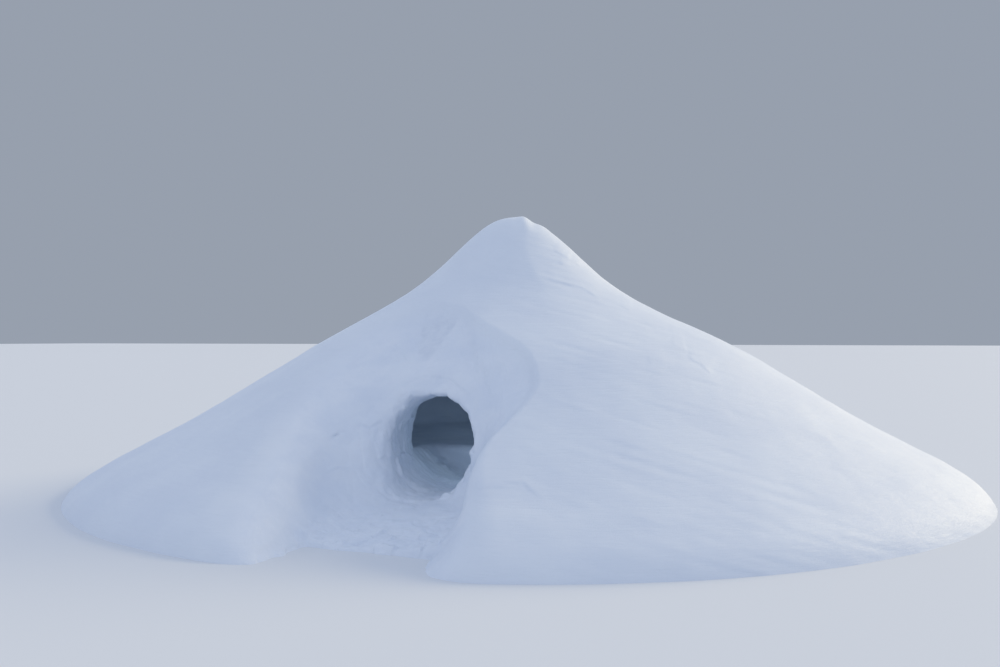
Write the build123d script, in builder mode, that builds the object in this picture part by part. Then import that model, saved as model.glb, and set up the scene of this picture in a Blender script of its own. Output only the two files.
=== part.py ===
from build123d import *
import math
import os

os.makedirs("parts", exist_ok=True)

# A quinzee: a heap of settled snow with a doorway dug into its foot and a sleeping
# chamber hollowed out inside. Millimetres, +Z up. The origin is on the floor under
# the middle of the heap, and the doorway faces -Y.

# The heap
mound_height = 2700
foot_radius = 4380

# The hollow inside
chamber_radius = 1600
ceiling_height = 1750
bench_height = 450
bench_front = 1100  # from the middle to the front edge of the sleeping platform
bench_edge_radius = 60

# The crawl tunnel, an oval that is a little lower at its inner end
tunnel_width = 845
tunnel_height = 900
tunnel_inner_height = 800
tunnel_sill = 166  # the bottom of the oval above the floor
tunnel_shift = 68  # the oval's middle lies a little to the right
gully_width = 600  # width of the floor piece under the oval

# The shovelled bowl and the trench in front of the doorway. The bank on the left leans
# back, the one on the right stands steep.
trench_width = 1680
apron_length = 1200
apron_lip = 30

# The vent poked through the back of the roof with a pole
vent_diameter = 80
vent_distance = 1060
vent_turn = 25

# Where the heap is divided
sector_angle = 45
roof_angle = 90
wall_top = 0.48 * mound_height
roof_top = 0.76 * mound_height

spring_line = tunnel_sill + tunnel_height / 2
beyond = 1.25 * foot_radius

# Outline of the heap from the crown down to where the toe rounds off: share of the
# foot radius, share of the height.
bell_outline = [
    (0.000, 1.000),
    (0.096, 0.930),
    (0.217, 0.750),
    (0.457, 0.533),
    (0.708, 0.288),
    (0.890, 0.129),
    (0.959, 0.067),
]

# Level cuts of the bowl, from the trench's floor to above its upper rim: share of the
# mound height, distance of the back from the middle as a share of the foot radius,
# then as shares of the trench width the cut's width, the shift of its middle to the
# right and the reach of its rounded back along the trench, and last its turn to the
# left in degrees.
bowl_cuts = [
    (0.00, 0.582, 0.67, 0.158, 0.42, 0),
    (0.11, 0.568, 0.78, 0.104, 0.41, 0),
    (0.24, 0.543, 0.92, 0.038, 0.39, 0),
    (0.33, 0.520, 1.12, 0.005, 0.36, 0),
    (0.41, 0.486, 1.28, 0.000, 0.30, 0),
    (0.50, 0.410, 1.30, -0.048, 0.27, 2),
    (0.58, 0.350, 1.14, -0.107, 0.19, 4),
    (0.69, 0.303, 0.95, -0.149, 0.15, 5),
]


def heap_form():
    """The heap as it was piled, a bell turned round the upright axis."""
    points = [(r * foot_radius, z * mound_height) for r, z in bell_outline]
    with BuildPart() as heap:
        with BuildSketch(Plane.XZ):
            with BuildLine():
                flank = Spline(*points, tangents=[(1, 0), (1, -0.6)])
                TangentArc(flank @ 1, (foot_radius, 0), tangent=flank % 1)
                Polyline((foot_radius, 0), (0, 0), points[0])
            make_face()
        revolve(axis=Axis.Z)
    return heap.part


def chamber_form():
    """The hollow: upright sides up to the platform's level and a low dome above."""
    with BuildPart() as hollow:
        with BuildSketch(Plane.XZ):
            with BuildLine():
                Line((0, 0), (chamber_radius, 0))
                Line((chamber_radius, 0), (chamber_radius, bench_height))
                EllipticalCenterArc(
                    (0, bench_height), chamber_radius, ceiling_height - bench_height, 0, arc_size=90
                )
                Line((0, ceiling_height), (0, 0))
            make_face()
        revolve(axis=Axis.Z)
    return hollow.part


def tunnel_form():
    """The oval bore, from inside the chamber through the wall to the open air."""
    inner_end = Plane.XZ.offset(bench_front)
    mouth = Plane.XZ.offset(bowl_cuts[0][1] * foot_radius + apron_length / 2)
    with BuildPart() as bore:
        for end, height in ((inner_end, tunnel_inner_height), (mouth, tunnel_height)):
            with BuildSketch(end):
                with Locations((tunnel_shift, tunnel_sill + height / 2)):
                    Ellipse(tunnel_width / 2, height / 2)
        loft()
    return bore.part


def gully_form():
    """The block of snow under the bore, up to the oval's middle."""
    with BuildPart() as block:
        with BuildSketch(Plane.XZ):
            with Locations((tunnel_shift, spring_line / 2)):
                Rectangle(gully_width, spring_line)
        extrude(amount=foot_radius)
    return block.part


def bowl_form():
    """The bowl and trench in front of the doorway, lofted through its level cuts."""
    with BuildPart() as bowl:
        for height, back, width, shift, reach, turn in bowl_cuts:
            centre = shift * trench_width
            half = width * trench_width / 2
            depth = reach * trench_width
            middle = -(back * foot_radius + depth)
            left, right = centre - half, centre + half
            level = Plane((0, 0, height * mound_height)).rotated((0, 0, -turn))
            with BuildSketch(level):
                with BuildLine():
                    EllipticalCenterArc((centre, middle), half, depth, 0, arc_size=180)
                    Polyline((left, middle), (left, -beyond), (right, -beyond), (right, middle))
                make_face()
        loft()
    return bowl.part


def vent_form():
    """The pole hole through the roof, upright, at the back."""
    with BuildPart() as vent:
        with Locations(Rot(0, 0, vent_turn) * Pos(0, vent_distance, bench_height)):
            Cylinder(
                vent_diameter / 2, mound_height, align=(Align.CENTER, Align.CENTER, Align.MIN)
            )
    return vent.part


def wedge_form(turn, span, low, high):
    """A slice of cake of the given span whose middle looks along -Y turned by turn."""
    half = math.radians(span / 2)
    corner = (beyond * math.tan(half), -beyond)
    with BuildPart() as wedge:
        with BuildSketch(Plane((0, 0, low)).rotated((0, 0, turn))):
            with BuildLine():
                Polyline((0, 0), corner, (-corner[0], corner[1]), close=True)
            make_face()
        extrude(amount=high - low)
    return wedge.part


def save(piece, label):
    piece.label = label
    export_step(piece, f"parts/{label}.step")
    print(f"{label}: {len(piece.solids())} solid, {piece.volume / 1e9:.3f} m3")


heap = heap_form()
hollow = chamber_form()
bore = tunnel_form()
gully = gully_form()
bowl = bowl_form()

# The shell of snow that is left standing
with BuildPart() as shell:
    add(heap)
    add([hollow, bore, gully, bowl, vent_form()], mode=Mode.SUBTRACT)

# Foot course, up to the widest level of the tunnel
foot_names = {
    45: "foot_front_right",
    90: "foot_right",
    135: "foot_back_right",
    180: "foot_back",
    225: "foot_back_left",
    270: "foot_left",
    315: "foot_front_left",
}
for turn, label in foot_names.items():
    with BuildPart() as foot:
        add(shell.part)
        add(wedge_form(turn, sector_angle, 0, spring_line), mode=Mode.INTERSECT)
    save(foot.part, label)

# The two sides of the doorway stand apart, left and right of tunnel and trench
with BuildPart() as jambs:
    add(shell.part)
    add(wedge_form(0, sector_angle, 0, spring_line), mode=Mode.INTERSECT)
sides = jambs.solids().sort_by(Axis.X)
save(Part([sides[0]]), "door_jamb_left")
save(Part([sides[-1]]), "door_jamb_right")

# Wall course
wall_names = {
    0: "door_arch",
    45: "wall_front_right",
    90: "wall_right",
    135: "wall_back_right",
    180: "wall_back",
    225: "wall_back_left",
    270: "wall_left",
    315: "wall_front_left",
}
for turn, label in wall_names.items():
    with BuildPart() as wall:
        add(shell.part)
        add(wedge_form(turn, sector_angle, spring_line, wall_top), mode=Mode.INTERSECT)
    save(wall.part, label)

# Roof course and the solid cap over it
roof_names = {0: "roof_front", 90: "roof_right", 180: "roof_back", 270: "roof_left"}
for turn, label in roof_names.items():
    with BuildPart() as roof:
        add(shell.part)
        add(wedge_form(turn, roof_angle, wall_top, roof_top), mode=Mode.INTERSECT)
    save(roof.part, label)

with BuildPart() as cap:
    add(shell.part)
    split(bisect_by=Plane.XY.offset(roof_top), keep=Keep.TOP)
save(cap.part, "peak_cap")

# The floor of the tunnel, hollowed like a gully by the bore
with BuildPart() as gully_floor:
    add(heap)
    add(gully, mode=Mode.INTERSECT)
    add([hollow, bore, bowl], mode=Mode.SUBTRACT)
save(gully_floor.part, "tunnel_floor")

# The apron of trodden snow that falls from the tunnel's sill into the trench
apron_back = bowl_cuts[0][1] * foot_radius
with BuildPart() as apron:
    with BuildSketch(Plane.YZ):
        with BuildLine():
            Polyline(
                (-apron_back - apron_length, apron_lip),
                (-apron_back - apron_length, 0),
                (-chamber_radius, 0),
                (-chamber_radius, tunnel_sill),
                (-apron_back, tunnel_sill),
            )
            Spline(
                (-apron_back, tunnel_sill),
                (-apron_back - apron_length, apron_lip),
                tangents=[(-1, -0.1), (-1, -0.02)],
            )
        make_face()
    extrude(amount=trench_width, both=True)
    add(bowl, mode=Mode.INTERSECT)
save(apron.part, "door_apron")

# Inside: a channel as wide as the tunnel runs on to the sleeping platform, and cold air
# settles in it
with BuildPart() as channel:
    add([bore, gully])
    split(bisect_by=Plane.XZ.offset(bench_front), keep=Keep.TOP)

with BuildPart() as well:
    add(hollow)
    add(gully, mode=Mode.INTERSECT)
    split(bisect_by=Plane.XZ.offset(bench_front), keep=Keep.TOP)
    add(bore, mode=Mode.SUBTRACT)
save(well.part, "cold_well_floor")

with BuildPart() as bench:
    add(hollow)
    split(bisect_by=Plane.XY.offset(bench_height), keep=Keep.BOTTOM)
    add(channel, mode=Mode.SUBTRACT)
    brow = bench.edges().filter_by(Axis.X).sort_by(Axis.Z)[-1]
    fillet(brow, bench_edge_radius)
save(bench.part, "sleeping_platform")
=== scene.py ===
import math

import bmesh
import bpy
import numpy as np
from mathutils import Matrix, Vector


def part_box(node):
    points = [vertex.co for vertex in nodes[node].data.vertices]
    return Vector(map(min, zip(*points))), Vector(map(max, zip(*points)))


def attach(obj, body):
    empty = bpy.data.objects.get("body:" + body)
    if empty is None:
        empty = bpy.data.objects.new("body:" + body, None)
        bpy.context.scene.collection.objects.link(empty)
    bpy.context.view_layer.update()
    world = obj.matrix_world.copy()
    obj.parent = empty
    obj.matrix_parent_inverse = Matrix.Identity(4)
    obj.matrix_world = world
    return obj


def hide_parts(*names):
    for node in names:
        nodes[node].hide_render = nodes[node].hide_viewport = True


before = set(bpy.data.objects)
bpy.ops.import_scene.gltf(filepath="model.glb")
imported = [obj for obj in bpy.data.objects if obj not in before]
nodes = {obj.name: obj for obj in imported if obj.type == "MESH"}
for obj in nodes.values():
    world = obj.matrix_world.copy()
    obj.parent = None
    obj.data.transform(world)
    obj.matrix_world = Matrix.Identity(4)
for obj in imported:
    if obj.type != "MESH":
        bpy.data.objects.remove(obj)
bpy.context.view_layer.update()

# The quinzee's snow as it looks in the photograph. Every piece of it is cut from the zero
# surface of one field, negative in the snow and positive in the air. Metres, in the frame of the
# solids: the doorway faces -Y, and the origin is on the floor under the middle of the heap.

# Driving dimensions
FOOT_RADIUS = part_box("foot_back")[1].y
MOUND_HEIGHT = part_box("peak_cap")[1].z
WALL_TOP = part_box("wall_back")[1].z
ROOF_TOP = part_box("peak_cap")[0].z
SPRING_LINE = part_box("foot_back")[1].z  # the widest level of the tunnel
CHAMBER_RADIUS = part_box("sleeping_platform")[1].x
BENCH_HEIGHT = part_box("sleeping_platform")[1].z
BENCH_FRONT = -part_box("cold_well_floor")[1].y
CEILING = 1.75
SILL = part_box("door_apron")[1].z
TUNNEL_SHIFT = 0.068
TUNNEL_HALF = 0.4225  # half its width
TUNNEL_HEIGHT = (0.80, 0.90)  # at its inner and outer end
TUNNEL_ENDS = (1.1, 3.149)  # their distance from the middle
TRENCH_WIDTH = 1.68
APRON_BACK = 0.582 * FOOT_RADIUS
APRON_FRONT = -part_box("door_apron")[0].y
APRON_LIP = 0.03
VENT_RADIUS = 0.04
VENT_DISTANCE = 1.06
VENT_TURN = math.radians(25)
VENT_FOOT = 0.3  # the vent is cut from this far over the bench

# Level cuts of the shovelled bowl: share of the heap's height, distance of the back as a
# share of the foot radius, then width, shift and reach as shares of the trench width,
# and the turn to the left in degrees.
BOWL_CUTS = np.array([
    (0.00, 0.582, 0.67, 0.158, 0.42, 0),
    (0.11, 0.568, 0.78, 0.104, 0.41, 0),
    (0.24, 0.543, 0.92, 0.038, 0.39, 0),
    (0.33, 0.520, 1.12, 0.005, 0.36, 0),
    (0.41, 0.486, 1.28, 0.000, 0.30, 0),
    (0.50, 0.410, 1.30, -0.048, 0.27, 2),
    (0.58, 0.350, 1.14, -0.107, 0.19, 4),
    (0.69, 0.303, 0.95, -0.149, 0.15, 5),
])

# The photograph's viewing angle. The turn is to the right of the doorway's axis.
VIEW_TURN = math.radians(21)
VIEW_DISTANCE = 10.1
VIEW_SIDE = 0.20  # the camera stands this far to the left of the line to the middle
VIEW_TILT = math.radians(90.27)
EYE_HEIGHT = 1.45

FINE, MEDIUM, COARSE = ((0.011, 0.018, 0.025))
FAR = 9.0  # further than anything here

# Noise. Its draws are seeded, so that every run gives the same snow.
DRAWS = np.random.RandomState(20).rand(1 << 16)
SITES = np.random.RandomState(21).uniform(0.28, 0.72, (1 << 12, 3))
TILTS = np.random.RandomState(22).uniform(-0.5, 0.5, (1 << 12, 4))
PRIMES = (73856093, 19349663, 83492791)
SEED_PRIME = 7919
PATCH_TILT, PATCH_STEP = 2.4, 0.6  # how much patches lean, and differ in height


def corner_keys(cell, seed):
    """Hash keys of the eight lattice corners that surround each point's cell."""
    low = [cell[:, k] * PRIMES[k] for k in range(3)]
    low[0] = low[0] + seed * SEED_PRIME
    for dx in (0, 1):
        for dy in (0, 1):
            part = (low[0] + dx * PRIMES[0]) ^ (low[1] + dy * PRIMES[1])
            for dz in (0, 1):
                yield (dx, dy, dz), part ^ (low[2] + dz * PRIMES[2])


def noise(p, size, seed):
    """Smooth value noise from -1 to 1. size is the lattice spacing along each axis."""
    q = p / np.asarray(size, float)
    cell = np.floor(q)
    f = q - cell
    f = f * f * (3 - 2 * f)
    g = 1 - f
    total = 0.0
    for (dx, dy, dz), key in corner_keys(cell.astype(np.int64), seed):
        weight = (f if dx else g)[:, 0] * (f if dy else g)[:, 1] * (f if dz else g)[:, 2]
        total = total + weight * DRAWS[key & (len(DRAWS) - 1)]
    return total * 2 - 1


def fractal(p, size, octaves, seed):
    """Noise to which each octave adds finer noise of half the strength."""
    total = np.zeros(len(p))
    size = np.asarray(size, float)
    for octave in range(octaves):
        total += noise(p, size / 2 ** octave, seed + octave) / 2 ** octave
    return total


def facets(p, size, seed, crease):
    """Tilted patches that meet in soft creases, as a shovel leaves them, from about -1 to 1."""
    q = p / size - 0.5
    cell = np.floor(q)
    f = q - cell
    total = np.zeros(len(p))
    weights = np.full(len(p), 1e-9)
    for corner, key in corner_keys(cell.astype(np.int64), seed):
        key = key & (len(SITES) - 1)
        off = f - corner - SITES[key] + 0.5
        tilt = TILTS[key]
        w = np.exp(-crease * (off * off).sum(1))
        weights += w
        total += w * (PATCH_TILT * (off * tilt[:, :3]).sum(1) + PATCH_STEP * tilt[:, 3])
    return total / weights


def rise(a, b, v):
    """A smooth step from 0 at a to 1 at b."""
    s = np.clip((v - a) / (b - a), 0, 1)
    return s * s * (3 - 2 * s)


def window(v, start, full, last, end):
    """Rises from 0 at start to 1 at full and falls again from last to end."""
    return rise(start, full, v) * rise(end, last, v)


def bump(v, middle, width):
    return np.exp(-((v - middle) / width) ** 2)


def clouds(p, layers):
    """Relief from layers of fractal noise: height, spacing, octaves and seed of each."""
    return sum(height * fractal(p, size, octaves, seed) for height, size, octaves, seed in layers)


def patches(p, height, size, seed, crease):
    return height * facets(p, size, seed, crease)


def soft_max(a, b, k):
    """The larger value, with a rounded change over about k from one to the other."""
    h = np.maximum(k - np.abs(a - b), 0) / k
    return np.maximum(a, b) + h * h * k / 4


def soft_min(a, b, k):
    return -soft_max(-a, -b, k)


def sideways(p):
    """Distance to the right of the heap's middle as the camera sees it."""
    return p[:, 0] * math.cos(VIEW_TURN) + p[:, 1] * math.sin(VIEW_TURN)


# Outside of the heap
OUTLINE_STEP = 0.01
OUTLINE_SOFT = 0.035
OUTLINE_REACH = 12  # steps to each side that the smoothing takes in
OUTLINE_PAST = 0.6  # how far the outline is carried on past the foot
TOE_SLOPE = 2.0
CROWN_LEAN, FLANK_LEAN = -0.045, 0.050  # to the right
LEAN_LEVELS = (1.9, 1.2)


def vertices(name):
    mesh = nodes[name].data
    co = np.empty(len(mesh.vertices) * 3)
    mesh.vertices.foreach_get("co", co)
    return co.reshape(-1, 3)


def heap_outline():
    """Height of the heap against the distance from the middle, read off the solids' outside."""
    pts = np.vstack([vertices(n) for n in ("peak_cap", "roof_back", "wall_back", "foot_back")])
    r = np.hypot(pts[:, 0], pts[:, 1])
    order = np.argsort(-pts[:, 2])
    r, z = r[order], pts[order, 2]
    outside = r >= np.maximum.accumulate(r) - 1e-6
    r, z = r[outside], z[outside]
    radius = np.arange(0, FOOT_RADIUS + OUTLINE_PAST, OUTLINE_STEP)
    height = np.interp(radius, r, z)
    beyond = radius > FOOT_RADIUS
    height[beyond] = -TOE_SLOPE * (radius[beyond] - FOOT_RADIUS)
    reach = np.arange(-OUTLINE_REACH, OUTLINE_REACH + 1)
    kernel = np.exp(-(reach * OUTLINE_STEP / OUTLINE_SOFT) ** 2)
    kernel /= kernel.sum()
    mirrored = height[OUTLINE_REACH:0:-1]
    padded = np.concatenate([mirrored, height, np.full(OUTLINE_REACH, height[-1])])
    return radius, np.convolve(padded, kernel, "valid")


OUTLINE_R, OUTLINE_Z = heap_outline()
OUTLINE_SLOPE = np.gradient(OUTLINE_Z, OUTLINE_R)


def outside_form(p):
    x, y, z = p.T
    lean = CROWN_LEAN + (FLANK_LEAN - CROWN_LEAN) * rise(*LEAN_LEVELS, z)
    x = x - lean * math.cos(VIEW_TURN)
    y = y - lean * math.sin(VIEW_TURN)
    r = np.hypot(x, y)
    h = np.interp(r, OUTLINE_R, OUTLINE_Z)
    slope = np.interp(r, OUTLINE_R, OUTLINE_SLOPE)
    return (z - h) / np.sqrt(1 + slope ** 2)


# The hollows, each negative inside
LEVEL_STEP = 0.01
LEVEL_MARGIN = 0.1


def oval(du, dv, a, b, power=2.0):
    """About the distance from an oval with half axes a and b, negative inside. A power over 2
    makes it squarer."""
    u, v = np.abs(du) / a, np.abs(dv) / b
    g = (u ** power + v ** power) ** (1 / power)
    grade = np.hypot(u ** (power - 1) / a, v ** (power - 1) / b) + 1e-6
    return g ** (power - 1) * (g - 1) / grade


BOWL_LEVELS = np.arange(-LEVEL_MARGIN, MOUND_HEIGHT + LEVEL_MARGIN, LEVEL_STEP)


def bowl_curve(column):
    """A smooth curve through one column of the bowl's cuts, read at BOWL_LEVELS."""
    z = BOWL_CUTS[:, 0] * MOUND_HEIGHT
    v = BOWL_CUTS[:, column]
    slope = np.gradient(v, z)
    i = np.clip(np.searchsorted(z, BOWL_LEVELS) - 1, 0, len(z) - 2)
    gap = z[i + 1] - z[i]
    s = np.clip((BOWL_LEVELS - z[i]) / gap, 0, 1)
    return ((1 + 2 * s) * (1 - s) ** 2 * v[i] + s * (1 - s) ** 2 * gap * slope[i]
            + s * s * (3 - 2 * s) * v[i + 1] + s * s * (s - 1) * gap * slope[i + 1])


BOWL_CURVES = [bowl_curve(column) for column in range(1, 6)]


def bowl_form(p):
    x, y, z = p.T
    back, width, shift, reach, turn = (np.interp(z, BOWL_LEVELS, c) for c in BOWL_CURVES)
    turn = np.radians(turn)
    u = x * np.cos(turn) - y * np.sin(turn)
    v = -(x * np.sin(turn) + y * np.cos(turn))
    depth = reach * TRENCH_WIDTH
    dv = np.minimum(v - back * FOOT_RADIUS - depth, 0)
    return oval(u - shift * TRENCH_WIDTH, dv, width * TRENCH_WIDTH / 2, depth)


# How much snow stands in front of the smooth cuts along the bowl's rim: turn round the
# bowl's middle as the camera sees it, in degrees, and metres
RIM_MIDDLE = (-0.35, 0.95)
RIM_SHIFT = np.array([
    (-120, 0.0), (-88, -0.014), (-48, -0.022), (-10, -0.038), (5, -0.043), (20, -0.052),
    (29, -0.040), (39, -0.026), (46, -0.017), (55, 0.005), (64, 0.038), (74, 0.070), (86, 0.086),
    (96, 0.070), (105, 0.022), (116, 0.018), (129, 0.060), (140, 0.085), (152, 0.085),
    (164, 0.0), (172, -0.04), (182, -0.03), (200, 0.0),
])
TURN_WRAP = -140  # turns under it are counted on past 180 degrees
RIM_DEPTHS = (-0.24, -0.05)  # it fades in between these places under the heap's outside
RIM_RADII = (0.12, 0.32)  # and between these distances from the bowl's middle


def rim_shift(p, outside):
    """Moves the bowl's surface where it comes up to the outside of the heap."""
    up, right = p[:, 2] - RIM_MIDDLE[1], sideways(p) - RIM_MIDDLE[0]
    turn = np.degrees(np.arctan2(up, right))
    turn = np.where(turn < TURN_WRAP, turn + 360, turn)
    shift = np.interp(turn, RIM_SHIFT[:, 0], RIM_SHIFT[:, 1])
    return shift * rise(*RIM_DEPTHS, outside) * rise(*RIM_RADII, np.hypot(up, right))


# The apron sinks under the level of the floor at its front edge
APRON_DROP = 0.09
APRON_EDGE = (-0.10, -0.01)  # where it sinks, from that edge
APRON_WANDER = (0.05, (0.3, 0.3, FAR), 41)  # how the edge wanders: length, spacing, seed


def floor_height(p):
    t = -p[:, 1]
    s = np.clip((t - APRON_BACK) / (APRON_FRONT - APRON_BACK), 0, 1)
    fall = SILL + (APRON_LIP - SILL) * s * s * (3 - 2 * s)
    wander, size, seed = APRON_WANDER
    past = t + wander * noise(p, size, seed) - APRON_FRONT
    return fall - APRON_DROP * rise(*APRON_EDGE, past)


# How the bore leaves the plain oval. Places along it run from 0 at the inner end to 1, and
# heights are from the oval's middle.
INNER_LEFT = 0.12  # wider at the inner end, on the left
MOUTH_LEFT = -0.09  # narrower towards the mouth, on the left
RIGHT_SIDE, RIGHT_TOP = 0.02, -0.03  # wider on the right, but not high up
CROWN_SHARE = -0.10  # the top is this share lower past the inner end
CORNER_POWER = 1  # squarer at the inner end, at the left foot
INNER_PLACES = (0.45, 0.15)
MOUTH_PLACES, MOUTH_HEIGHTS = (0.40, 0.68), (-0.42, -0.18)
CROWN_PLACES = (0.22, 0.45)
RIGHT_HEIGHTS = (0, 0.3)
CORNER_SIDES, CORNER_HEIGHTS = (0, -0.15), (-0.25, -0.05)


def bore_form(p):
    x, y, z = p.T
    s = (-y - TUNNEL_ENDS[0]) / (TUNNEL_ENDS[1] - TUNNEL_ENDS[0])
    half = (TUNNEL_HEIGHT[0] + (TUNNEL_HEIGHT[1] - TUNNEL_HEIGHT[0]) * s) / 2
    du = x - TUNNEL_SHIFT
    dv = z - SILL - half
    inner = rise(*INNER_PLACES, s)
    narrowed = rise(*MOUTH_PLACES, s) * rise(*MOUTH_HEIGHTS, dv)
    left = TUNNEL_HALF + INNER_LEFT * inner + MOUTH_LEFT * narrowed
    right = TUNNEL_HALF + RIGHT_SIDE + RIGHT_TOP * rise(*RIGHT_HEIGHTS, dv)
    top = half * (1 + CROWN_SHARE * rise(*CROWN_PLACES, s))
    power = 2 + CORNER_POWER * inner * rise(*CORNER_SIDES, du) * rise(*CORNER_HEIGHTS, dv)
    return oval(du, dv, np.where(du < 0, left, right), np.where(dv < 0, half, top), power)


def chamber_form(p):
    r = np.hypot(p[:, 0], p[:, 1])
    up = np.maximum(p[:, 2] - BENCH_HEIGHT, 0)
    return oval(r, up, CHAMBER_RADIUS, CEILING - BENCH_HEIGHT)


def vent_form(p):
    """The pole hole through the back of the roof."""
    x = p[:, 0] + VENT_DISTANCE * math.sin(VENT_TURN)
    y = p[:, 1] - VENT_DISTANCE * math.cos(VENT_TURN)
    above = p[:, 2] > BENCH_HEIGHT + VENT_FOOT
    return np.where(above, np.hypot(x, y) - VENT_RADIUS, FAR)


def under_bench(p, grow, lift):
    """Positive inside the low drum of snow that the sleeping platform fills."""
    r = np.hypot(p[:, 0], p[:, 1])
    return np.minimum(CHAMBER_RADIUS + grow - r, BENCH_HEIGHT + lift - p[:, 2])


# Steps that wind and shovel left
LEDGE_MARGIN = 0.35
LEDGE_OVERRUN = 0.5  # how far the end runs of a path are carried on, as a share of their length
LEDGE_FADE = (-0.15, 0.2, 0.8, 1.15)  # shares of the whole path


def ledge(u, v, path, height, fall, soft):
    """A low step along a path in the u-v plane. The snow stands higher on the path's left and
    sinks back behind the step. Paths run through at least two points."""
    out = np.zeros(len(u))
    corners = np.asarray(path, float)
    low, high = corners.min(0) - LEDGE_MARGIN, corners.max(0) + LEDGE_MARGIN
    near = (u > low[0]) & (u < high[0]) & (v > low[1]) & (v < high[1])
    q = np.stack([u[near], v[near]], 1)
    if not len(q):
        return out
    runs = np.diff(corners, axis=0)
    lengths = np.hypot(runs[:, 0], runs[:, 1])
    starts = np.concatenate([[0], np.cumsum(lengths)])
    best = np.full(len(q), FAR)
    side = np.zeros(len(q))
    along = np.zeros(len(q))
    for k, (run, length) in enumerate(zip(runs, lengths)):
        off = q - corners[k]
        first = -LEDGE_OVERRUN if k == 0 else 0
        last = 1 + LEDGE_OVERRUN if k == len(runs) - 1 else 1
        s = np.clip((off @ run) / length ** 2, first, last)
        gap = off - s[:, None] * run
        far = np.hypot(gap[:, 0], gap[:, 1])
        closer = far < best
        best[closer] = far[closer]
        cross = run[0] * off[:, 1] - run[1] * off[:, 0]
        side[closer] = np.sign(cross[closer])
        along[closer] = starts[k] + s[closer] * length
    fade = window(along / starts[-1], *LEDGE_FADE)
    d = side * best
    out[near] = height * fade * rise(-soft, soft, d) * np.exp(-np.maximum(d, 0) / fall)
    return out


def drawn_steps(p, steps, wobble, soft):
    """The steps of a list, on paths that wobble a little so that none looks ruled."""
    (du, u_size, u_seed), (dv, v_size, v_seed) = wobble
    u = sideways(p) + du * noise(p, u_size, u_seed)
    v = p[:, 2] + dv * noise(p, v_size, v_seed)
    out = np.zeros(len(p))
    for path, height, fall in steps:
        out += ledge(u, v, path, height, fall, soft)
    return out


# Small wind-cut steps on the lit flank: sideways place and height of their corners, then the
# step's height and the length over which the snow sinks back behind it
WIND_STEPS = [
    ([(0.33, 2.318), (0.42, 2.270), (0.48, 2.235)], 0.007, 0.10),
    ([(0.38, 2.172), (0.50, 2.185), (0.60, 2.165)], 0.007, 0.10),
    ([(0.26, 2.000), (0.40, 1.970), (0.56, 1.938), (0.70, 1.845)], 0.008, 0.12),
    ([(0.93, 1.745), (1.02, 1.700)], 0.003, 0.10),
    ([(1.30, 1.385), (1.40, 1.345)], 0.003, 0.12),
    ([(1.41, 1.275), (1.50, 1.232), (1.55, 1.165)], 0.006, 0.12),
    ([(1.01, 1.208), (1.16, 1.188)], 0.003, 0.12),
    ([(-0.40, 0.455), (-0.05, 0.485), (0.05, 0.415)], 0.006, 0.10),
]
WIND_SOFT = 0.020
WIND_WOBBLE = ((0.014, 0.09, 8), (0.012, 0.07, 10))  # sideways and up: length, spacing, seed
# The shovel's steps and scratches in the bowl, in the same way. A negative one is a groove.
DUG_STEPS = [
    ([(-0.27, 1.440), (-0.30, 1.300), (-0.33, 1.200), (-0.31, 1.080), (-0.26, 0.980)], 0.009, 0.10),
    ([(-0.40, 1.420), (-0.42, 1.250), (-0.40, 1.100)], 0.006, 0.10),
    ([(-0.14, 1.250), (-0.17, 1.080), (-0.22, 0.900)], 0.006, 0.12),
    ([(-1.36, 0.750), (-1.26, 0.716), (-1.19, 0.776)], 0.011, 0.06),
    ([(-1.17, 0.275), (-1.27, 0.400), (-1.31, 0.550), (-1.33, 0.717)], -0.010, 0.07),
    ([(-1.11, 0.377), (-1.20, 0.544), (-1.26, 0.716)], -0.008, 0.05),
    ([(-1.53, 0.411), (-1.46, 0.443), (-1.34, 0.390), (-1.24, 0.302), (-1.15, 0.255)], 0.008, 0.08),
    ([(-1.32, 0.186), (-1.26, 0.168), (-1.15, 0.190)], 0.010, 0.03),
    ([(-1.05, 1.030), (-0.95, 1.095), (-0.84, 1.140), (-0.61, 1.120), (-0.46, 1.010)], 0.008, 0.04),
    ([(-1.20, 1.450), (-1.05, 1.330), (-0.95, 1.200)], 0.006, 0.14),
    ([(-1.55, 1.100), (-1.40, 0.960), (-1.33, 0.830)], 0.006, 0.14),
]
DUG_SOFT = 0.014
DUG_WOBBLE = ((0.012, 0.08, 14), (0.012, 0.10, 16))

# Relief of the wind-smoothed outside
PACKED_CLOUDS = [(0.010, 0.9, 2, 3), (0.0025, 0.22, 2, 5)]
FLANK_TURNS = (0.25, 0.8, 2.2, 2.9)  # radians from the doorway to the right
# Height of the streaks, what the lit flank adds to it, their width, length and seed
STREAKS = [(0.0006, 0.0019, 0.036, 0.36, 7), (0.0, 0.0012, 0.13, 0.8, 9)]
STREAK_SLANT, STREAK_DEPTH = 0.27, 0.7
STEP_TURN, STEP_SPREAD = 1.3, 1.4  # the steps are only on this side of the heap, radians
STEP_BASE = 0.3  # and over this height
# The fold that runs down from the crown between the shaded and the lit side: distance from
# the middle, turn from the doorway in degrees
FOLD = np.array([
    (0.20, 38), (0.47, 29), (0.58, 25), (0.68, 26), (0.77, 28), (0.94, 30), (1.3, 35),
])
FOLD_HEIGHT = 0.012
FOLD_WIDTH, FOLD_SOFT = 0.24, 0.035
FOLD_REACH = (0.12, 0.3, 0.75, 1.3)
# The tilted tip of the crown: sideways place, width and height of its ridge and its dip
TIP_RIDGE = (0.045, 0.055, 0.016)
TIP_DIP = (0.15, 0.06, -0.014)
TIP_RADII, TIP_LEVELS = (0.5, 0.2), (2.4, 2.55)


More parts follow.
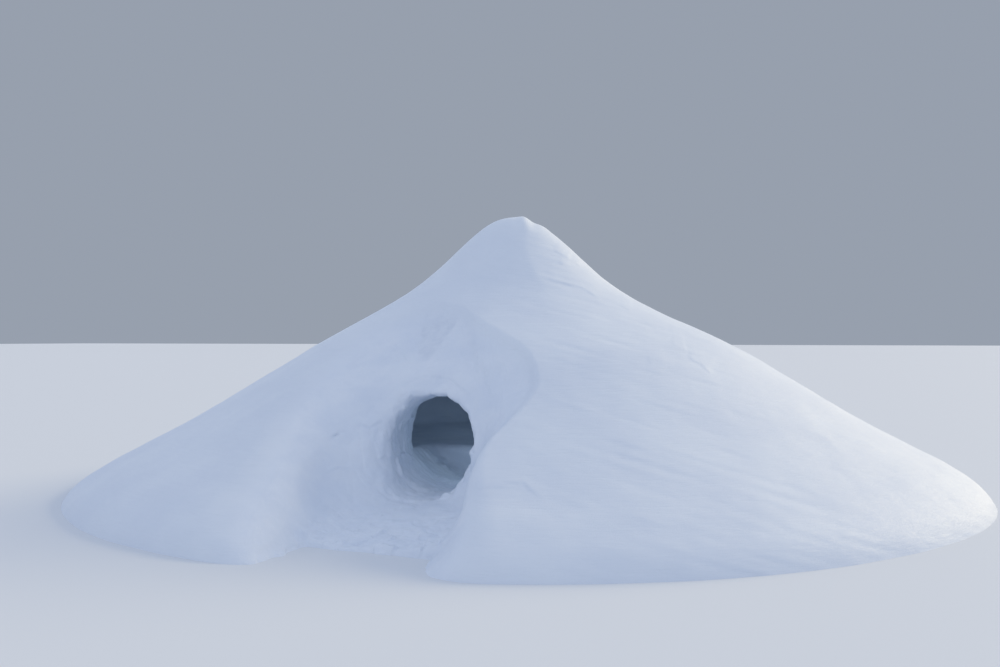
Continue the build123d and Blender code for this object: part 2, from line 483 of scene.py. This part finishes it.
def streaks(p, across, along, seed):
    """Fine lines that the wind drew down and to the right."""
    a = sideways(p)
    c = p[:, 1] * math.cos(VIEW_TURN) - p[:, 0] * math.sin(VIEW_TURN)
    q = np.stack([a, p[:, 2] + STREAK_SLANT * a, c], 1)
    return noise(q, (along, across, STREAK_DEPTH), seed)


def crown_relief(p, turn):
    """The fold under the crown and the crown's tilted tip."""
    r = np.hypot(p[:, 0], p[:, 1])
    side = (turn - np.radians(np.interp(r, FOLD[:, 0], FOLD[:, 1]))) * r
    off = np.hypot(side, FOLD_SOFT) - FOLD_SOFT
    out = FOLD_HEIGHT * np.maximum(1 - off / FOLD_WIDTH, 0) ** 2 * window(r, *FOLD_REACH)
    tip = rise(*TIP_RADII, r) * rise(*TIP_LEVELS, p[:, 2])
    for middle, width, height in (TIP_RIDGE, TIP_DIP):
        out += height * tip * bump(sideways(p), middle, width)
    return out


def wind_detail(p):
    turn = np.arctan2(p[:, 0], -p[:, 1])
    flank = window(turn, *FLANK_TURNS)
    out = clouds(p, PACKED_CLOUDS)
    for height, more, across, along, seed in STREAKS:
        out += (height + more * flank) * streaks(p, across, along, seed)
    lit = (p[:, 2] > STEP_BASE) & (np.abs(turn - STEP_TURN) < STEP_SPREAD)
    out[lit] += drawn_steps(p[lit], WIND_STEPS, WIND_WOBBLE, WIND_SOFT)
    return out + crown_relief(p, turn)


# The scoop that a shovel took out under the bowl's upper rim has a straight right edge, from
# its lower to its upper end. Sideways places and heights.
SCOOP = ((-0.80, 1.25), (-0.55, 1.62))
SCOOP_LEFT = -0.91
SCOOP_TOP = 1.69
SCOOP_DEPTH = 0.055
SCOOP_RISE = (-0.05, 0.30)  # it deepens between these heights, from its lower end
SCOOP_WIDTH = (0.05, 0.24)  # at its lower end, and what it gains towards the rim
SCOOP_RUNOUT = (1.9, 0.9)  # in shares of its width
SCOOP_WOBBLE = (0.03, 0.08, 18)
# How softly the painted shade in the scoop begins at the right, the left, the lower end and the top
SHADE_RIGHT, SHADE_LEFT, SHADE_LOW, SHADE_TOP = (0, 0.012), (-0.02, 0.03), (-0.02, 0.05), (0.03, -0.03)


def scoop_edge(a, z):
    """How far a place is to the left of the scoop's right edge, times the edge's length."""
    (a0, z0), (a1, z1) = SCOOP
    return (z - z0) * (a1 - a0) - (a - a0) * (z1 - z0)


def scoop(a, z):
    """Deepens to the left of a straight edge and runs out again, wider towards the rim."""
    (a0, z0), (a1, z1) = SCOOP
    up = rise(*SCOOP_RISE, z - z0)
    width = SCOOP_WIDTH[0] + SCOOP_WIDTH[1] * up
    across = scoop_edge(a, z) / math.hypot(a1 - a0, z1 - z0) / width
    return -SCOOP_DEPTH * up * np.clip(across, 0, 1) * rise(*SCOOP_RUNOUT, across)


def painted_scoop_shade(p):
    """1 where the scoop's shade is painted into the snow's colour as a darker grey."""
    a, z = sideways(p), p[:, 2]
    wobble, size, seed = SCOOP_WOBBLE
    left = a - SCOOP_LEFT + wobble * noise(p, size, seed)
    return (rise(*SHADE_RIGHT, scoop_edge(a, z)) * rise(*SHADE_LEFT, left)
            * rise(*SHADE_LOW, z - SCOOP[0][1]) * rise(*SHADE_TOP, z - SCOOP_TOP))


# The small pit in the left bank: its place, how long it is, and its slant
PIT = (-1.518, 0.663)
PIT_LENGTH, PIT_SLANT = 1.6, 0.3
PIT_DEPTH, PIT_SIZE = 0.022, 0.014


def pit(a, z):
    off = z - PIT[1] - PIT_SLANT * (a - PIT[0])
    return -PIT_DEPTH * bump(np.hypot((a - PIT[0]) / PIT_LENGTH, off), 0, PIT_SIZE)


# Relief of the dug snow. Patches have a height, a spacing, a seed and the sharpness of their
# creases, strokes a height, the spacing of their pattern and a seed.
DUG_PATCHES, DUG_STRETCH = (0.011, 0.30, 11, 13.0), np.array([1, 1, 0.6])
DUG_CLOUDS = [(0.0022, 0.075, 2, 13)]
ROUND_HEIGHT = 0.62  # the shovel's strokes in the bowl run round a point at this height
ROUND_STROKES = (0.0035, (0.035, 0.33, 0.5), 15)
ROUND_SHARE, ROUND_REACH = 0.6, (1.1, 0.5)
BORE_MIDDLE = 0.58
BORE_STROKES = (0.0065, (0.20, 0.034, 1), 19)
BORE_SLANT, BORE_WOBBLE = 0.22, (0.09, 0.28, 17)
BORE_PRESSURE = (0.6, 0.5, 0.2, 20)  # the strokes' strength, its change, spacing and seed
BORE_PATCHES, BORE_CLOUDS = (0.012, 0.15, 21, 16.0), [(0.010, 0.09, 3, 23)]
ROOM_PATCHES, ROOM_CLOUDS = (0.006, 0.35, 31, 26.0), [(0.012, 0.4, 2, 29)]
BENCH_CLOUDS = [(0.007, 0.22, 3, 53)]


def dug_detail(p):
    """Relief that the shovel left in the bowl and trench."""
    x, y, z = p.T
    a = sideways(p)
    out = patches(p * DUG_STRETCH, *DUG_PATCHES) + clouds(p, DUG_CLOUDS)
    reach = np.hypot(x - TUNNEL_SHIFT, z - ROUND_HEIGHT)
    turn = np.arctan2(x - TUNNEL_SHIFT, z - ROUND_HEIGHT) * ROUND_SHARE
    height, size, seed = ROUND_STROKES
    strokes = height * noise(np.stack([reach, turn, y], 1), size, seed)
    out += strokes * rise(*ROUND_REACH, reach)
    out += drawn_steps(p, DUG_STEPS, DUG_WOBBLE, DUG_SOFT)
    return out + scoop(a, z) + pit(a, z)


def bore_detail(p):
    """Short curved strokes round the tunnel where it was scraped, over a pocked wall."""
    x, y, z = p.T
    turn = np.arctan2(x - TUNNEL_SHIFT, z - BORE_MIDDLE) * TUNNEL_HALF
    wobble, size, seed = BORE_WOBBLE
    slant = y + BORE_SLANT * turn + wobble * noise(p, size, seed)
    height, size, seed = BORE_STROKES
    strokes = height * noise(np.stack([turn, slant, 0 * x], 1), size, seed)
    even, change, size, seed = BORE_PRESSURE
    strokes *= even + change * noise(p, size, seed)
    return strokes + patches(p, *BORE_PATCHES) + clouds(p, BORE_CLOUDS)


def chamber_detail(p):
    return clouds(p, ROOM_CLOUDS) + patches(p, *ROOM_PATCHES)


def bench_detail(p):
    return clouds(p, BENCH_CLOUDS)


# The apron is scraped near the sill and trodden into lumps further out
SCRAPED_CLOUDS = [(0.008, 0.16, 3, 43)]
LUMP_HEIGHT = 0.022
LUMP_PATCHES, LUMP_STRETCH = (1.0, 0.15, 45, 30.0), np.array([1, 1, 0.5])
LUMP_CLOUDS = [(0.5, 0.06, 2, 47)]
TRODDEN_FROM, TRODDEN_FULL = APRON_BACK + 0.25, APRON_FRONT - 0.3


def floor_detail(p):
    lumps = patches(p * LUMP_STRETCH, *LUMP_PATCHES) + clouds(p, LUMP_CLOUDS)
    trodden = rise(TRODDEN_FROM, TRODDEN_FULL, -p[:, 1])
    return clouds(p, SCRAPED_CLOUDS) + LUMP_HEIGHT * trodden * lumps


# Crumbled snow on the rim of the tunnel's mouth, coarser low down on the right
CRUMB_HEIGHT, CRUMB_GAIN = 0.015, 0.022
CRUMB_CLOUDS = [(1.0, 0.07, 2, 27)]
CRUMB_SIDES, CRUMB_LEVELS = (0.1, 0.4), (0.75, 0.55)


def crumbs(p):
    coarse = rise(*CRUMB_SIDES, p[:, 0]) * rise(*CRUMB_LEVELS, p[:, 2])
    return (CRUMB_HEIGHT + CRUMB_GAIN * coarse) * clouds(p, CRUMB_CLOUDS)


RELIEF_BAND = 0.12  # a relief is added this far to both sides of a surface
CRUMB_BAND, CRUMB_WIDTH = 0.1, 0.05


def relief(form, detail, p, sign=1):
    """Adds a relief to a form near its surface."""
    near = np.abs(form) < RELIEF_BAND
    fade = rise(RELIEF_BAND, 0.5 * RELIEF_BAND, np.abs(form[near]))
    form[near] += sign * fade * detail(p[near])


# The whole field. Widths over which the forms blend, metres. Where a width grows, the amount
# is followed by the places where the growth starts and ends.
FLOOR_BLEND, FLOOR_LEFT, FLOOR_RIGHT = 0.14, (0.16, 0.1, -0.7), 0.20
BENCH_BLEND = 0.05
ROOM_BLEND, ROOM_DEEP = 0.06, (0.24, -1.25, -0.7)
MOUTH_BLEND, MOUTH_ROUND, MOUTH_LEVELS = 0.06, (0.12, 0.05, -0.15), (0.20, 0.45)
WELL_BLEND = 0.09
VENT_BLEND = 0.02
RIM_BLEND, RIM_CENTRE, RIM_LEFT = 0.03, (0.03, 0.3, -0.1), (0.26, -0.2, -0.9)
RIM_FRONT, RIM_RIGHT = (0.14, -2.9, -3.9), 0.30
BANK_SIDES, BANK_LEVELS = (0.3, 0.7), (0.70, 0.10)
HOLLOW_SIDE, HOLLOW_BACK = 1.9, 2.1  # all hollows are nearer to the middle than this


def growth(v, amount, start, end):
    return amount * rise(start, end, v)


def low_right(x, z):
    """1 at the foot of the steep right bank."""
    return rise(*BANK_SIDES, x) * rise(*BANK_LEVELS, z)


def hollow_form(p, outside, fine):
    """Negative inside the bowl, tunnel, room and vent."""
    x, y, z = p.T
    bowl = bowl_form(p) + rim_shift(p, outside)
    floor = floor_height(p) - z
    bore = bore_form(p)
    room = chamber_form(p)
    bench = BENCH_HEIGHT - z
    front = y + BENCH_FRONT
    if fine:
        relief(bowl, dug_detail, p)
        relief(floor, floor_detail, p)
        relief(bore, bore_detail, p)
        relief(room, chamber_detail, p)
        relief(bench, bench_detail, p)
        relief(front, bench_detail, p)
        edge = (np.abs(bowl) < CRUMB_BAND) & (np.abs(bore) < CRUMB_BAND)
        bore[edge] += crumbs(p[edge]) * bump(bowl[edge], 0, CRUMB_WIDTH)
    foot = FLOOR_BLEND + growth(x, *FLOOR_LEFT) + FLOOR_RIGHT * low_right(x, z)
    corner = ROOM_BLEND + growth(y, *ROOM_DEEP)
    lip = MOUTH_BLEND + growth(x, *MOUTH_ROUND) * rise(*MOUTH_LEVELS, z)
    bowl = soft_max(bowl, floor, foot)
    bore = soft_max(bore, front, BENCH_BLEND)
    room = soft_max(room, bench, corner)
    hollow = soft_min(soft_min(bowl, bore, lip), room, WELL_BLEND)
    return soft_min(hollow, vent_form(p), VENT_BLEND)


def field(p, fine=True):
    """Negative in the snow, positive in the air, about in metres. fine adds the relief."""
    outside = outside_form(p)
    inner = (np.abs(p[:, 0]) < HOLLOW_SIDE) & (p[:, 1] < HOLLOW_BACK)
    q = p[inner]
    x, y, z = q.T
    hollow = hollow_form(q, outside[inner], fine)
    if fine:
        relief(outside, wind_detail, p, -1)
    rim = (RIM_BLEND + growth(x, *RIM_CENTRE) + growth(x, *RIM_LEFT) + growth(y, *RIM_FRONT)
           + RIM_RIGHT * low_right(x, z))
    outside[inner] = soft_max(outside[inner], -hollow, rim)
    return outside


WALL_LIFT = 0.005  # the walls' snow is cut away up to this far over the bench
PLATFORM_GROW, PLATFORM_LIFT = 0.02, 0.16
PLATFORM_SINK = 0.001  # under the walls' snow where both reach the surface


def wall_field(p, fine=True):
    """The snow without the drum that the sleeping platform fills."""
    return np.maximum(field(p, fine), under_bench(p, 0, WALL_LIFT))


def platform_field(p, fine=True):
    """The drum, let into the walls a little so that no gap shows."""
    drum = under_bench(p, PLATFORM_GROW, PLATFORM_LIFT)
    return np.maximum(field(p, fine) + PLATFORM_SINK, -drum)


# Meshes
CHUNK = 400000  # points at a time
SETTLE_TURNS = 5
SETTLE_REACH = 0.004
LEAST_SLOPE = 0.05  # squared, so that flat places don't send a vertex far
LONGEST_MOVE = 0.5  # of a grid step
NORMAL_REACH = 0.005
BOX_MARGIN = 0.06
INNER_MARGIN = 0.30  # towards the middle, where the rounded corners of the room add snow
DUG_DEPTHS = (0.015, 0.09)  # the dug snow's colour fades in under the heap's outside


def evaluate(function, p, fine=True):
    return np.concatenate([function(p[i:i + CHUNK], fine) for i in range(0, len(p), CHUNK)])


def gradient(function, p, reach, fine=True):
    out = np.empty_like(p)
    for axis in range(3):
        step = np.zeros(3)
        step[axis] = reach
        ahead = evaluate(function, p + step, fine)
        out[:, axis] = (ahead - evaluate(function, p - step, fine)) / (2 * reach)
    return out


def sample(function, axes, step):
    """The function's values on a grid, with air all round the grid's sides."""
    value = np.empty([len(axis) for axis in axes])
    gx, gy = np.meshgrid(axes[0], axes[1], indexing="ij")
    for k, z in enumerate(axes[2]):
        p = np.stack([gx.ravel(), gy.ravel(), np.full(gx.size, z)], 1)
        value[:, :, k] = evaluate(function, p, False).reshape(gx.shape)
    for side in (0, -1):
        value[side], value[:, side], value[:, :, side] = step, step, step
    return value


def surface_net(value):
    """The grid cells that the zero surface crosses, the mean crossing in each, and the quads
    that join them."""
    inside = value < 0
    cells = np.array(value.shape) - 1
    strides = np.array([cells[1] * cells[2], cells[2], 1])
    sums = np.zeros((np.prod(cells), 3))
    hits = np.zeros(np.prod(cells))
    quads = []
    for axis in range(3):
        near, far = [slice(None)] * 3, [slice(None)] * 3
        near[axis], far[axis] = slice(None, -1), slice(1, None)
        near, far = tuple(near), tuple(far)
        start = np.argwhere(inside[near] != inside[far])
        a, b = value[near][tuple(start.T)], value[far][tuple(start.T)]
        crossing = start.astype(float)
        crossing[:, axis] += a / (a - b)
        across = [(axis + 1) % 3, (axis + 2) % 3]
        corners = []
        for back in ((-1, -1), (0, -1), (0, 0), (-1, 0)):
            cell = start.copy()
            cell[:, across] += back
            corners.append(cell @ strides)
            np.add.at(sums, corners[-1], crossing)
            np.add.at(hits, corners[-1], 1)
        quad = np.stack(corners, 1)
        flip = a > b
        quad[flip] = quad[flip][:, ::-1]
        quads.append(quad)
    used, faces = np.unique(np.concatenate(quads), return_inverse=True)
    cell = np.stack(np.unravel_index(used, cells), 1)
    return cell, sums[used] / hits[used][:, None], faces.reshape(-1, 4)


def settle(function, verts, step):
    """Moves vertices onto the surface, first the smooth one and then the one with relief."""
    for turn in range(SETTLE_TURNS):
        if turn in (0, 2):
            g = gradient(function, verts, SETTLE_REACH, False)
            g /= np.maximum((g * g).sum(1), LEAST_SLOPE)[:, None]
        move = g * evaluate(function, verts, turn > 0)[:, None]
        size = np.linalg.norm(move, axis=1)
        move *= np.minimum(1, LONGEST_MOVE * step / np.maximum(size, 1e-9))[:, None]
        verts = verts - move
    return verts


def skin(function, low, high, step):
    """Vertices and quads of the function's zero surface inside a box, closed at the box's
    sides."""
    low = np.floor(np.asarray(low) / step - 3) * step
    count = np.ceil((np.asarray(high) - low) / step + 3).astype(int)
    axes = [low[k] + np.arange(count[k]) * step for k in range(3)]
    cell, crossing, faces = surface_net(sample(function, axes, step))
    verts = low + step * crossing
    free = ((cell > 1) & (cell < count - 3)).all(1)
    verts[free] = settle(function, verts[free], step)
    return verts, faces


def cut(mesh, planes):
    """Keeps what lies behind each plane and closes every cut."""
    for co, normal in planes:
        geom = mesh.verts[:] + mesh.edges[:] + mesh.faces[:]
        bmesh.ops.bisect_plane(mesh, geom=geom, dist=1e-6, plane_co=co, plane_no=normal,
                               clear_outer=True)
        edges = [e for e in mesh.edges if e.is_boundary]
        if edges:
            bmesh.ops.holes_fill(mesh, edges=edges, sides=0)


def level(z, up):
    return ((0, 0, z), (0, 0, 1 if up else -1))


def sector(turn, span):
    """The two upright planes of a slice whose middle looks along -Y turned to the right."""
    planes = []
    for side in (-1, 1):
        a = math.radians(turn + side * span / 2)
        planes.append(((0, 0, 0), (side * math.cos(a), side * math.sin(a), 0)))
    return planes


def box_round(names):
    """A box with room round the solids that a piece of snow replaces."""
    low = np.min([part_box(n)[0] for n in names], axis=0) - BOX_MARGIN
    high = np.max([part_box(n)[1] for n in names], axis=0) + BOX_MARGIN
    low[2] = min(low[2], -BOX_MARGIN)
    low[:2] -= INNER_MARGIN * (low[:2] > 0)
    high[:2] += INNER_MARGIN * (high[:2] < 0)
    return low, high


def dress(data):
    """Normals from the field, and the weights that the material reads."""
    co = np.empty(len(data.vertices) * 3)
    data.vertices.foreach_get("co", co)
    co = co.reshape(-1, 3)
    g = gradient(field, co, NORMAL_REACH)
    g /= np.maximum(np.linalg.norm(g, axis=1), 1e-9)[:, None]
    data.shade_smooth()
    data.normals_split_custom_set_from_vertices(g.tolist())
    dug = rise(*DUG_DEPTHS, -outside_form(co))
    # The second weight is where shade is painted into the scoop's colour.
    for label, weight in (("dug", dug), ("painted_scoop_shade", dug * painted_scoop_shade(co))):
        values = data.attributes.new(label, "FLOAT", "POINT")
        values.data.foreach_set("value", weight.astype(np.float32))


def make_piece(name, replaced, function, step, planes):
    verts, faces = skin(function, *box_round(replaced), step)
    data = bpy.data.meshes.new(name)
    data.from_pydata(verts.tolist(), [], faces.tolist())
    mesh = bmesh.new()
    mesh.from_mesh(data)
    cut(mesh, [level(0, False)] + planes)
    loose = [v for v in mesh.verts if not v.link_faces]
    bmesh.ops.delete(mesh, geom=loose, context="VERTS")
    mesh.to_mesh(data)
    mesh.free()
    dress(data)
    piece = bpy.data.objects.new(name, data)
    bpy.context.scene.collection.objects.link(piece)
    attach(piece, "root")
    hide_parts(*replaced)
    print(name, "triangles", sum(len(f.vertices) - 2 for f in data.polygons))
    return piece


# The pieces of snow. Those of the foot, the wall and the roof are named after their turns from
# the doorway to the right, in degrees.
FOOT = {45: "foot_front_right", 90: "foot_right", 135: "foot_back_right", 180: "foot_back",
        225: "foot_back_left", 270: "foot_left", 315: "foot_front_left"}
WALL = {0: "door_arch", 45: "wall_front_right", 90: "wall_right", 135: "wall_back_right",
        180: "wall_back", 225: "wall_back_left", 270: "wall_left", 315: "wall_front_left"}
ROOF = {0: "roof_front", 90: "roof_right", 180: "roof_back", 270: "roof_left"}
SECTOR_SPAN, ROOF_SPAN = 45, 90
IN_VIEW = (45, 90, 315)  # the slices next to the doorway's that the camera sees best
DOORWAY = ["door_jamb_left", "door_jamb_right", "tunnel_floor", "door_apron"]


def slice_step(turn):
    if turn == 0:
        return FINE
    return MEDIUM if turn in IN_VIEW else COARSE


def make_foot():
    for turn, node in FOOT.items():
        planes = [level(SPRING_LINE, True)] + sector(turn, SECTOR_SPAN)
        yield make_piece(node + "_snow", [node], wall_field, slice_step(turn), planes)


def make_wall():
    for turn, node in WALL.items():
        planes = [level(WALL_TOP, True), level(SPRING_LINE, False)] + sector(turn, SECTOR_SPAN)
        yield make_piece(node + "_snow", [node], field, slice_step(turn), planes)


def make_roof():
    for turn, node in ROOF.items():
        planes = [level(ROOF_TOP, True), level(WALL_TOP, False)] + sector(turn, ROOF_SPAN)
        step = COARSE if node == "roof_left" else MEDIUM
        yield make_piece(node + "_snow", [node], field, step, planes)
    yield make_piece("peak_snow", ["peak_cap"], field, MEDIUM, [level(ROOF_TOP, False)])


def make_doorway():
    planes = [level(SPRING_LINE, True)] + sector(0, SECTOR_SPAN)
    return make_piece("doorway_snow", DOORWAY, wall_field, FINE, planes)


def make_platform():
    return make_piece("platform_snow", ["sleeping_platform", "cold_well_floor"],
                      platform_field, MEDIUM, [])


snow = [*make_foot(), *make_wall(), *make_roof(), make_doorway()]
platform = make_platform()

# Material. Each kind of snow has two colours that the noise mixes.
PACKED = ((0.70, 0.757, 0.845), (0.745, 0.798, 0.87))
DEEP = ((0.705, 0.765, 0.86), (0.76, 0.81, 0.885))
TRODDEN = ((0.63, 0.69, 0.78), (0.72, 0.77, 0.84))
# Painted shade: two darker colours laid over the scoop in the bowl, standing in for the shade that
# falls there
SCOOP_SHADE_COLOURS = ((0.65, 0.71, 0.81), (0.715, 0.77, 0.855))
GLOSS = ((0.50, 0.50, 0.50), (0.72, 0.72, 0.72))
SPECULAR = 0.35
BUMP_STRENGTH, BUMP_DISTANCE = 0.55, 0.010
# Noise textures: scale per metre, detail and roughness
PACKED_NOISE = (1.3, 4, 0.55)
DEEP_NOISE = (3.1, 5, 0.6)
# the noise of the painted scoop shade's two colours
SCOOP_SHADE_NOISE = (11.0, 4, 0.6)
GLOSS_NOISE = (60, 3, 0.7)
CRUST_NOISE, GRAIN_NOISE = (6.0, 4, 0.6), (190, 3, 0.7)
CRUMB_NOISE, FINE_CRUMB_NOISE = (26, 5, 0.65), (150, 3, 0.7)
GRAIN_SHARE, FINE_CRUMB_SHARE = 0.32, 0.35
CRUST_STRETCH, CRUST_SLANT = (0.5, 1.0, 8.0), 0.26
RAMP_PLACES = (0.35, 0.65)  # of the two colours in the noise
# A Mix node's sockets by its kind: the inputs A and B, and the output
MIX_SOCKETS = {"FLOAT": (2, 3, 0), "RGBA": (6, 7, 2)}


def texture(tree, scale, detail, rough, stretch=None):
    """Cloudy noise in the pieces' own metres, or stretched along the wind's lines."""
    vector = tree.nodes.new("ShaderNodeTexCoord").outputs["Object"]
    if stretch:
        mapping = tree.nodes.new("ShaderNodeMapping")
        mapping.inputs["Scale"].default_value = stretch
        mapping.inputs["Rotation"].default_value = (0, CRUST_SLANT, VIEW_TURN)
        tree.links.new(vector, mapping.inputs["Vector"])
        vector = mapping.outputs["Vector"]
    node = tree.nodes.new("ShaderNodeTexNoise")
    node.inputs["Scale"].default_value = scale
    node.inputs["Detail"].default_value = detail
    node.inputs["Roughness"].default_value = rough
    tree.links.new(vector, node.inputs["Vector"])
    return node.outputs["Fac"]


def ramp(tree, fac, low, high):
    node = tree.nodes.new("ShaderNodeValToRGB")
    for element, place, colour in zip(node.color_ramp.elements, RAMP_PLACES, (low, high)):
        element.position = place
        element.color = (*colour, 1)
    tree.links.new(fac, node.inputs["Fac"])
    return node.outputs["Color"]


def mix(tree, fac, a, b, kind="FLOAT"):
    """a where fac is 0 and b where it is 1. fac is a number or a socket."""
    node = tree.nodes.new("ShaderNodeMix")
    node.data_type = kind
    first, second, result = MIX_SOCKETS[kind]
    if isinstance(fac, float):
        node.inputs[0].default_value = fac
    else:
        tree.links.new(fac, node.inputs[0])
    tree.links.new(a, node.inputs[first])
    tree.links.new(b, node.inputs[second])
    return node.outputs[result]


def piece_weight(tree, label):
    node = tree.nodes.new("ShaderNodeAttribute")
    node.attribute_name = label
    return node.outputs["Fac"]


def snow_material(name, deep):
    """Wind-packed snow outside and dug snow inside, blended by the pieces' dug weight."""
    mat = bpy.data.materials.new(name)
    mat.use_nodes = True
    tree = mat.node_tree
    shader = tree.nodes["Principled BSDF"]
    shader.inputs["Specular IOR Level"].default_value = SPECULAR
    dug = piece_weight(tree, "dug")
    packed = ramp(tree, texture(tree, *PACKED_NOISE), *PACKED)
    scraped = ramp(tree, texture(tree, *DEEP_NOISE), *deep)
    # Painted shade: the scoop's darker colours, laid over the snow by the scoop's painted shade
    # weight
    scoop_shade_colour = ramp(tree, texture(tree, *SCOOP_SHADE_NOISE), *SCOOP_SHADE_COLOURS)
    colour = mix(tree, dug, packed, scraped, "RGBA")
    colour = mix(tree, piece_weight(tree, "painted_scoop_shade"), colour, scoop_shade_colour, "RGBA")
    tree.links.new(colour, shader.inputs["Base Color"])
    crust = mix(tree, GRAIN_SHARE, texture(tree, *CRUST_NOISE, CRUST_STRETCH),
                texture(tree, *GRAIN_NOISE))
    crumbly = mix(tree, FINE_CRUMB_SHARE, texture(tree, *CRUMB_NOISE),
                  texture(tree, *FINE_CRUMB_NOISE))
    bumps = tree.nodes.new("ShaderNodeBump")
    bumps.inputs["Strength"].default_value = BUMP_STRENGTH
    bumps.inputs["Distance"].default_value = BUMP_DISTANCE
    tree.links.new(mix(tree, dug, crust, crumbly), bumps.inputs["Height"])
    tree.links.new(bumps.outputs["Normal"], shader.inputs["Normal"])
    gloss = ramp(tree, texture(tree, *GLOSS_NOISE), *GLOSS)
    tree.links.new(gloss, shader.inputs["Roughness"])
    return mat


settled_snow = snow_material("settled_snow", DEEP)
trodden_snow = snow_material("trodden_snow", TRODDEN)
for piece in snow:
    piece.data.materials.append(settled_snow)
platform.data.materials.append(trodden_snow)

# Stage
scene = bpy.context.scene
FLOOR_SIZE = 400
FLOOR_COLOUR, FLOOR_ROUGHNESS = (0.70, 0.73, 0.77, 1), 0.9
LENS, SENSOR = 35, 36  # millimetres
SKY_COLOUR, SKY_POWER = (0.733, 0.820, 1.0, 1), 0.785
BACKDROP_COLOUR = (0.31, 0.35, 0.42, 1)
# A low soft sun from the right and a little behind, as the flank is lit
SUN_HEIGHT = math.radians(23)
SUN_TURN = VIEW_TURN + math.radians(35)
SUN_POWER, SUN_COLOUR = 1.86, (1.0, 0.83, 0.51)
SUN_ANGLE = math.radians(28)
# Daylight that comes through the snow into the hollow: name, place, power and radius
GLOW_COLOUR = (0.62, 0.81, 1.0)
GLOWS = [("well", (0.07, -1.50, 0.50), 1.0, 0.15),
         ("room", (0.0, 0.2, 1.1), 2.4, 0.45)]


def add_floor():
    bpy.ops.mesh.primitive_plane_add(size=FLOOR_SIZE)
    floor = bpy.context.object
    floor.name = "floor"
    mat = bpy.data.materials.new("pale floor")
    mat.use_nodes = True
    shader = mat.node_tree.nodes["Principled BSDF"]
    shader.inputs["Base Color"].default_value = FLOOR_COLOUR
    shader.inputs["Roughness"].default_value = FLOOR_ROUGHNESS
    floor.data.materials.append(mat)


def add_camera():
    data = bpy.data.cameras.new("camera")
    data.lens = LENS
    data.sensor_width = SENSOR
    camera = bpy.data.objects.new("camera", data)
    scene.collection.objects.link(camera)
    camera.location = (VIEW_DISTANCE * math.sin(VIEW_TURN) - VIEW_SIDE * math.cos(VIEW_TURN),
                       -VIEW_DISTANCE * math.cos(VIEW_TURN) - VIEW_SIDE * math.sin(VIEW_TURN),
                       EYE_HEIGHT)
    camera.rotation_euler = (VIEW_TILT, 0, VIEW_TURN)
    scene.camera = camera


def add_sky():
    """An even sky that lights the snow, and a plain grey backdrop that the camera sees."""
    world = bpy.data.worlds.new("studio")
    scene.world = world
    world.use_nodes = True
    tree = world.node_tree
    sky = tree.nodes["Background"]
    sky.inputs["Color"].default_value = SKY_COLOUR
    sky.inputs["Strength"].default_value = SKY_POWER
    backdrop = tree.nodes.new("ShaderNodeBackground")
    backdrop.inputs["Color"].default_value = BACKDROP_COLOUR
    path = tree.nodes.new("ShaderNodeLightPath")
    pick = tree.nodes.new("ShaderNodeMixShader")
    tree.links.new(path.outputs["Is Camera Ray"], pick.inputs["Fac"])
    tree.links.new(sky.outputs["Background"], pick.inputs[1])
    tree.links.new(backdrop.outputs["Background"], pick.inputs[2])
    tree.links.new(pick.outputs["Shader"], tree.nodes["World Output"].inputs["Surface"])


def add_lamp(kind, name, power, colour):
    data = bpy.data.lights.new(name, kind)
    data.energy = power
    data.color = colour
    lamp = bpy.data.objects.new(name, data)
    scene.collection.objects.link(lamp)
    lamp.visible_camera = False
    return lamp


def add_lights():
    sun = add_lamp("SUN", "sun", SUN_POWER, SUN_COLOUR)
    sun.data.angle = SUN_ANGLE
    toward = Vector((math.cos(SUN_HEIGHT) * math.cos(SUN_TURN),
                     math.cos(SUN_HEIGHT) * math.sin(SUN_TURN), math.sin(SUN_HEIGHT)))
    sun.rotation_euler = (-toward).to_track_quat("-Z", "Y").to_euler()
    for name, place, power, radius in GLOWS:
        glow = add_lamp("POINT", name, power, GLOW_COLOUR)
        glow.data.shadow_soft_size = radius
        glow.location = place


add_floor()
add_camera()
add_sky()
add_lights()
scene.view_settings.view_transform = "Standard"
